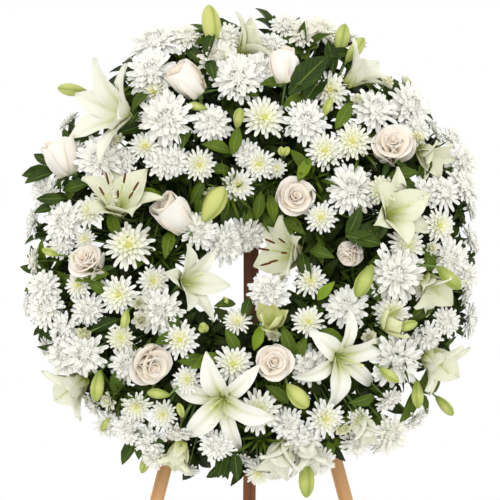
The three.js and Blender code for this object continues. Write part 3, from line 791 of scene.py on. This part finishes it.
def make_mums():
    grain = dict(ribs=9.0, rough=0.15, relief=0.0001)
    white = petal_finish("mum_petal_white", "#fcfcf7", "#eceed0", "#f7f3dc", reach=0.22, warmth=0.3, **grain)
    lemon_hearted = ("#fcfcf5", "#e6e9ac", "#f2f0ae")
    lemon = petal_finish("mum_petal_lemon_hearted", *lemon_hearted, reach=0.3, warmth=0.8, **grain)
    flat = mum_petal("mum_petal_flat", -0.1, 0.09, (0.4, 0.8, 1.0, 0.86, 0.40))
    pointed = mum_petal("mum_petal_pointed", -0.12, 0.09, (0.4, 0.8, 1.0, 0.84, 0.36))
    incurved = mum_petal("mum_petal_incurved", 1.7, 0.10, (0.4, 0.8, 1.0, 0.9, 0.45))
    broad = mum_petal("mum_petal_short", 0.5, 0.22, (0.34, 0.72, 0.98, 1.0, 0.62))
    full = habit(50, (0, 36), (1.04, 0.70), (0.24, 0.22), Closing=1.1, Seat=0.15, Rise=0.07, Unevenness=0.17)
    tuft = habit(26, (8, 46), (0.66, 0.54), (0.25, 0.22), Seat=0.12, Rise=0.03, Unevenness=0.13)
    tufted = []
    for half, to_left in (("left", True), ("right", False)):
        heads = mum_heads([row for row in FULL_MUMS if (row[0] < 0) == to_left], 0.52, 3)
        sprays = [n for n in cad_nodes("mum_spray") if (middle_of(n).x < 0) == to_left]
        tufted += heads
        bloom("mum_full_" + half, heads, flat, white, "mum_petal", sprays, Seed=11, **full)
    rims = mum_heads(RIM_MUMS, 1.3, 7)
    raised = dict(full, Outer_Tilt=6, Unevenness=0.2)
    bloom("mum_rim_petals", rims, flat, white, "mum_petal", Seed=31, **raised)
    bloom("mum_tufts", tufted + rims, incurved, white, "mum_petal", Seed=35, **tuft)
    floret = turned_form("floret", ((0, 0.2), (0.5, 0.26), (0.85, 0.3), (1.0, 0.16)), 5)
    heart = habit(22, (46, 89), (0.42, 0.48), 0.20, Closing=0.6, Seat=0.16, Unevenness=0.08)
    bloom("mum_hearts", tufted, floret, white, "mum_petal", Seed=37, **heart)
    rays = habit(54, (1, 50), (1.02, 0.42), (0.20, 0.18), Closing=1.25, Seat=0.14, Rise=0.05, Unevenness=0.11)
    daisies = mum_heads(DAISY_MUMS, 0.5, 5)
    bloom("mum_daisy_petals", daisies, pointed, lemon, "mum_petal", Seed=21, **rays)
    small = dict(full, Count=34, Outer_Tilt=14, Inner_Tilt=80, Outer_Width=0.5, Inner_Width=0.4)
    bloom("mum_small_petals", mum_heads(SMALL_MUMS, 1.0, 9), broad, lemon, "mum_petal", Seed=41, **small)
    knob = dict(Closing=0.55, Seat=0.16, Rise=0.10, Unevenness=0.05)
    button = habit(30, (52, 90), (0.20, 0.15), (0.15, 0.14), **knob)
    bloom("mum_buttons", daisies, floret, button_finish(), Seed=51, **button)


def make_roses():
    creams = ("#f8f3ea", "#e8e3c6", "#f8e3c8")
    smooth = dict(reach=0.22, ribs=0.0, rough=0.12, warmth=0.7, relief=0.0001)
    cream = petal_finish("rose_petal_cream", *creams, **smooth)
    outer = rose_petal("rose_petal_outer", 0.95, 0.16)
    inner = rose_petal("rose_petal_inner", 1.25, 0.05)
    cupped = rose_petal("rose_petal_cupped", 1.3, 0.22, 0.2)
    guards, hearts, closed = [], [], []
    for *spot, opened, spin in ROSES.values():
        around = closed if opened < STILL_CLOSED else guards
        around.append(head_at(ROSE_SINK, *spot, max(opened, 0.8), spin, 0.05))
        hearts.append(head_at(ROSE_SINK, *spot, 1.0, spin + 1.0, 0.12))
    loose = dict(Closing=0.9, Seat=0.20, Rise=0.06, Unevenness=0.07)
    guard = habit(7, (53, 76), (1.32, 1.44), (1.90, 1.55), **loose)
    bloom("rose_guard_petals", guards, outer, cream, "rose_petal", cad_nodes("rose_"), Seed=61, **guard)
    wrapped = habit(5, (69, 76), (1.66, 1.78), (1.62, 1.45), Seat=0.32, Unevenness=0.04)
    bloom("rose_closed_petals", closed, cupped, cream, "rose_petal", Seed=64, **wrapped)
    tight = dict(Closing=0.9, Seat=0.19, Rise=0.05, Unevenness=0.05)
    core = habit(7, (79, 89), (1.48, 1.40), (1.25, 0.40), **tight)
    bloom("rose_heart_petals", hearts, inner, cream, "rose_petal", Seed=62, **core)
    sepal = leaf_form("rose_sepal_form", 0.10, -0.05)
    green = leaf_finish("rose_sepal_green", "#4c6a2a", "#86a050", "#a9bd74")
    calyx = habit(5, -14, 0.95, 0.30, Turn=72, Unevenness=0.2)
    bloom("rose_sepals", hearts, sepal, green, "leaf", Seed=63, **calyx)


def make_lilies():
    whites = ("#f1f1e7", "#a8af30", "#d6d98a")
    veined = dict(reach=0.52, ribs=7.0, rough=0.1, warmth=0.0, relief=0.00015, vein=0.6)
    white = petal_finish("lily_tepal_white", *whites, **veined)

    def heads_of(wanted):
        return [head_at(LILY_SINK, *row) for node, row in LILIES.items() if wanted(node)]

    wide = heads_of(lambda node: node in WIDE_OPEN)
    slender = heads_of(lambda node: node in SLENDER)
    half = heads_of(lambda node: node not in WIDE_OPEN + SLENDER)
    half += [head_at(LILY_SINK, *row) for row in MORE_LILIES]
    young = [head_at(LILY_SINK, *row) for row in YOUNG_LILIES]
    trumpets = [n for n in cad_nodes("lily_") if n not in WIDE_OPEN + SLENDER]
    habits = {
        "young": (young, (0.72, 34, 86, 0.01), (0.58, 24, 70, 0.01), ()),
        "wide": (wide, (0.35, 58, -44, 0.04), (0.25, 56, -52, 0.02), WIDE_OPEN),
        "slender": (slender, (0.44, 60, 14, 0.03), (0.33, 58, 8, 0.02), SLENDER),
        "half": (half, (0.62, 60, 10, 0.02), (0.44, 58, 4, 0.01), trumpets),
    }
    three = dict(Turn=120, Unevenness=0.07)
    upper = habit(3, 6, 1.36, 1.36, Seed=71, **three)
    lower = habit(3, 1, 1.38, 1.36, Seed=72, Start=60, **three)
    for name, (heads, broad, slim, stood_for) in habits.items():
        inner = lily_tepal("lily_tepal_inner_" + name, *broad)
        bloom("lily_inner_" + name, heads, inner, white, "lily_petal", stood_for, **upper)
        outer = lily_tepal("lily_tepal_outer_" + name, *slim)
        bloom("lily_outer_" + name, heads, outer, white, "lily_petal", **lower)
    with_anthers = heads_of(lambda node: node in WITH_ANTHERS)
    without = heads_of(lambda node: node not in WITH_ANTHERS + SIDEWAYS)
    make_stamens(with_anthers, without)


def make_stamens(with_anthers, without):
    m = Finish("filament_pale_green", Specular_IOR_Level=0.35)
    mottled = m.noise(300.0)
    colour = m.mix((m.attribute("along") + mottled * 0.3).clip(), "#a9bb55", "#dbe3a4")
    pale = m.dress(colour, 0.42 + mottled * 0.1, mottled, 0.0002, 0.3)
    thread = turned_form("filament", ((0, 0.020), (0.5, 0.015), (1.0, 0.010)), 5)
    rings = ((0.84, 0.006), (0.88, 0.024), (1.0, 0.030), (1.12, 0.024), (1.16, 0.006))
    anther = turned_form("anther", rings, 6)
    stigma_rings = ((0, 0.024), (0.7, 0.020), (0.93, 0.022), (0.97, 0.05), (1.0, 0.035))
    stigma = turned_form("pistil", stigma_rings, 6)
    six = dict(Turn=60, Start=30, Unevenness=0.12)
    spread = habit(6, 66, 0.98, 0.98, Seed=81, **six)
    bloom("lily_filaments", with_anthers, thread, pale, "leaf", **spread)
    bloom("lily_anthers", with_anthers, anther, anther_finish(), **spread)
    short = habit(6, 66, 0.66, 0.98, Seed=83, **six)
    bloom("lily_filaments_bare", without, thread, pale, "leaf", **short)
    middle = habit(1, 84, 1.0, 1.0, Seed=82)
    bloom("lily_pistils", with_anthers + without, stigma, pale, "leaf", **middle)


def make_buds():
    green = bud_finish("lily_bud_green", "#6f8a18", "#c6cb74")
    rings = ((0, 0.030), (0.07, 0.055), (0.2, 0.088), (0.38, 0.118), (0.58, 0.130), (0.76, 0.115))
    rings += ((0.88, 0.085), (0.96, 0.050), (1.0, 0.018))
    heads = []
    for i, (*spot, stout, tint) in enumerate(BUDS):
        heads.append((head_at(BUD_SINK, *spot, 1.0, i * 1.7, tint), stout > STOUT))
    upright = habit(1, 90, 1.0, 1.0, Seed=91)
    kinds = {"slim": (1.75, False, ("bud_upper", "bud_bottom")), "stout": (2.25, True, ())}
    for name, (broad, is_stout, nodes) in kinds.items():
        shape = turned_form("bud_" + name, [(x, r * broad) for x, r in rings], 18, 0.16)
        chosen = [head for head, stout in heads if stout == is_stout]
        bloom("lily_buds_" + name, chosen, shape, green, "leaf", nodes, **upright)


def leaf_heads():
    heads = []
    chance = random.Random(15)
    for u, v, lift, length, degrees, tint in LEAVES:
        spin = radians(degrees)
        face = stray(outlook(u, v, 0.35), chance, 0.25)
        middle = seat_of(u, v, lift - 18)
        foot = middle - (RIGHT * cos(spin) + UP * sin(spin)) * length * 0.0005
        heads.append(Head(foot, face, length * MM, spin, 1.0, tint))
    return heads


def under_bloom(u, v):
    """Whether a rose or a lily stands above this place."""
    large = [(row, 1.0) for row in ROSES.values()] + [(row, 0.9) for row in LILIES.values()]
    large += [(row, 0.75) for row in MORE_LILIES]
    return any(hypot(u - row[0], v - row[1]) < row[3] * share for row, share in large)


HOLE_U, HOLE_V, HOLE_HALF_WIDTH, HOLE_HALF_HEIGHT = -18, -48, 92, 66


def in_hole(u, v):
    """Whether a place lies in the open hole, which sits a little low and to the left."""
    return ((u - HOLE_U) / HOLE_HALF_WIDTH) ** 2 + ((v - HOLE_V) / HOLE_HALF_HEIGHT) ** 2 < 1


LOWEST = 12  # where the lowest twigs start


def undergrowth(count, seed, depth, reach, clear=True):
    """Short twigs' heads scattered over the band below the blooms, clear of the hole."""
    chance = random.Random(seed)
    heads = []
    while len(heads) < count:
        angle = chance.uniform(0, 2 * pi)
        far = chance.uniform(*reach)
        u, v = far * cos(angle), far * sin(angle)
        if clear and in_hole(u, v):
            continue
        share = chance.uniform(*depth) * (0.5 if under_bloom(u, v) else 1.0)
        n = LOWEST + (dome(u, v) - LOWEST) * share
        face = stray(outlook(u, v), chance, 0.5)
        tint = chance.choice((0.0, 0.05, 0.1, 0.15, 0.3, 0.45))
        size = chance.uniform(0.030, 0.044)
        heads.append(Head(seat(u, v, n), face, size, chance.uniform(0, FULL_TURN), 1.0, tint))
    return heads


FOAM_OUTER, FOAM_MIDDLE, FOAM_INNER, FOAM_TOP = 190, 150, 110, 48


def foam_skirt(count, seed):
    """Twigs pinned round the foam's outer and inner sides, so that greenery hides it from all round."""
    chance = random.Random(seed)
    heads = []
    for i in range(count):
        angle = 2 * pi * (i + chance.uniform(-0.3, 0.3)) / count * 2
        outer = i % 3 != 0
        far = FOAM_OUTER if outer else FOAM_INNER
        n = chance.uniform(24, 62) if outer else chance.uniform(40, 60)
        outward = RIGHT * cos(angle) + UP * sin(angle)
        if not outer and cos(angle) < 0.3 and sin(angle) < 0.2:
            continue
        face = outward * (1 if outer else -0.4) + FRONT * chance.uniform(-0.1, 0.7)
        spot = place(far * cos(angle), far * sin(angle), n)
        size = chance.uniform(0.032, 0.046)
        spin = chance.uniform(0, FULL_TURN)
        heads.append(Head(spot, face.normalized(), size, spin, 1.0, chance.uniform(0, 0.4)))
    return heads


def make_leaves():
    green = leaf_finish("leaf_green", "#253b0a", "#849e28", "#90a744")
    # A darker copy of the leaf green for the undergrowth deep under the blooms: painted shade.
    painted_shade = leaf_finish("leaf_shade_green", "#181f07", "#4d6319", "#5d742a")
    folded = leaf_form("leaf_folded", 0.16, 0.08)
    curved = leaf_form("leaf_curved", 0.10, 0.16)
    single = habit(1, 4, 1.0, 0.42, Unevenness=0.08, Seed=101)
    bloom("leaf_singles", leaf_heads(), folded, green, "leaf", ("leaf_spray_bottom",), **single)
    twigs = habit(6, (4, 40), (1.1, 0.8), (0.46, 0.36), Seat=0.1, Unevenness=0.3)
    band = undergrowth(230, 23, (0.25, 0.66), (70, 285)) + undergrowth(90, 43, (0.1, 0.4), (192, 282))
    bloom("leaf_undergrowth", band, curved, painted_shade, "leaf", Seed=111, **twigs)
    rim = undergrowth(76, 29, (0.2, 0.6), (245, 296), False)
    bloom("leaf_rim", rim, folded, green, "leaf", Seed=121, **twigs)
    frond = leaf_form("fern_leaflet", 0.05, 0.10)
    fern = habit(18, (4, 64), (1.15, 0.8), (0.12, 0.09), Seat=0.16, Rise=0.2, Unevenness=0.25)
    sprigs = undergrowth(80, 57, (0.42, 0.74), (84, 276))
    bloom("fern_sprigs", sprigs, frond, green, "leaf", Seed=141, **fern)
    skirt = foam_skirt(90, 37)
    bloom("leaf_skirt", skirt, folded, green, "leaf", Seed=131, **twigs)


def make_stems():
    """A stem from the foam to every bloom and bud, bent once on its way."""
    green = stem_finish()
    heads = []
    for u, v, size, lift, *_ in FULL_MUMS + DAISY_MUMS + RIM_MUMS + SMALL_MUMS:
        heads.append((u, v, lift, outlook(u, v), size * 0.4, 1.5))
    thick = [(row, 1.0, 2.6) for row in ROSES.values()] + [(row, 0.6, 2.6) for row in LILIES.values()]
    thick += [(row, 0.6, 2.2) for row in MORE_LILIES + YOUNG_LILIES] + [(row, 0.5, 1.8) for row in BUDS]
    for (u, v, lift, size, face, *_), drop, radius in thick:
        heads.append((u, v, lift, heading(*face), size * drop, radius))
    points, edges, sizes, tints = [], [], [], []
    for i, (u, v, lift, facing, drop, radius) in enumerate(heads):
        neck = seat_of(u, v, lift) - facing * drop * 0.00095
        side, rise = (u, v) if hypot(u, v) > 85 or v < -40 else (u - 40, abs(v) + 90)
        far = hypot(side, rise)
        core = place(FOAM_MIDDLE * side / far, FOAM_MIDDLE * rise / far, FOAM_TOP)
        way = neck - core
        middle = core + way * 0.62 - facing * way.length * 0.12
        low = core + way * 0.28 - facing * way.length * 0.06
        start = len(points)
        points += [core, low, middle, neck]
        edges += [(start + k, start + k + 1) for k in range(3)]
        sizes += [radius * share for share in (MM, MM, 0.00092, 0.00085)]
        tints += [(i * 0.37) % 1.0] * 4
    mesh = new_mesh("stem_lines", points, edges, [], size=sizes, tint=tints)
    settle(run_tree("bloom_stems", mesh, STEMS, Sides=6, Finish=green))


def repaint(node, finish):
    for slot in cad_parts[node].material_slots:
        slot.material = finish


def dress_frame():
    """Better finishes for the easel, its metalwork, the tray and the foam."""
    foam, tray, steel = foam_finish(), tray_finish(), steel_finish()
    splay = RIGHT * 0.2545
    rear = middle_of("hinge_pin") - middle_of("rear_leg")
    plain_wood = ("#dcae7c", "#bd8148")
    # A darker, redder copy of the wood for the mast, the peg and the rear leg, which stand behind the wreath:
    # painted shade.
    painted_shade_wood = ("#84502f", "#532d18")
    plan = {
        "front_leg_left": (UP + splay, (0.0095, 0.0095), plain_wood),
        "front_leg_right": (UP - splay, (0.0095, 0.0095), plain_wood),
        "crossbar": (RIGHT, (0.009, 0.025), plain_wood),
        "mast": (UP, (0.011, 0.009), painted_shade_wood),
        "hanging_peg": (FRONT, (0.006, 0.006), painted_shade_wood),
        "rear_leg": (rear, (0.011, 0.009), painted_shade_wood),
    }
    for node, (axis, half, colours) in plan.items():
        repaint(node, wood_finish(node + "_wood", middle_of(node), axis, half, *colours))
    for node in cad_nodes("hinge_") + cad_nodes("leg_screw") + cad_nodes("mast_screw"):
        repaint(node, steel)
    repaint("foam_tray", tray)
    repaint("foam_ring", foam)


# ------ the studio
def make_camera():
    distance, width_seen, sensor = 2.2, 0.70, 36
    data = bpy.data.cameras.new("camera")
    data.sensor_width = sensor
    data.lens = sensor * distance / width_seen
    data.clip_end = 50
    camera = new_object("camera", data)
    target = place(-4, -7, 100)
    camera.location = target + Vector((-0.05, -distance, 0))
    camera.rotation_euler = (target - camera.location).to_track_quat("-Z", "Y").to_euler()
    bpy.context.scene.camera = camera


def make_floor():
    half, below = 3.0, -0.0005
    corners = [(x * half, y * half, below) for x, y in ((-1, -1), (1, -1), (1, 1), (-1, 1))]
    mesh = new_mesh("floor", corners, [], [(0, 1, 2, 3)])
    floor = new_object("floor", mesh)
    m = Finish("floor_pale", Specular_IOR_Level=0.2)
    mottled = m.noise(4.0, 3.0)
    colour = m.mix(mottled, "#e9e9e7", "#f2f2f0")
    mesh.materials.append(m.dress(colour, 0.8 + mottled * 0.1, mottled, 0.001, 0.2))


def lamp(name, spot, size, power, aim):
    data = bpy.data.lights.new(name, "AREA")
    data.size = size
    data.energy = power
    made = new_object(name, data)
    made.location = spot
    made.rotation_euler = (aim - Vector(spot)).to_track_quat("-Z", "Y").to_euler()


def make_lights():
    world = bpy.data.worlds.new("studio")
    world.use_nodes = True
    sky = world.node_tree.nodes["Background"].inputs
    sky["Color"].default_value = (1.0, 1.0, 1.0, 1.0)
    sky["Strength"].default_value = 1.0
    bpy.context.scene.world = world
    aim = place(0, 0, 60)
    lamp("key", (-1.3, -2.6, 2.6), 1.2, 17.0, aim)
    lamp("fill", (1.8, -3.0, 1.3), 1.8, 12.0, aim)
    lamp("back", (0.8, 2.6, 2.4), 1.6, 14.0, aim)
    bpy.context.scene.view_settings.view_transform = "Standard"


make_camera()
make_lights()
make_floor()
dress_frame()
make_mums()
make_roses()
make_lilies()
make_buds()
make_leaves()
make_stems()
for source in SOURCES:
    bpy.data.objects.remove(source)
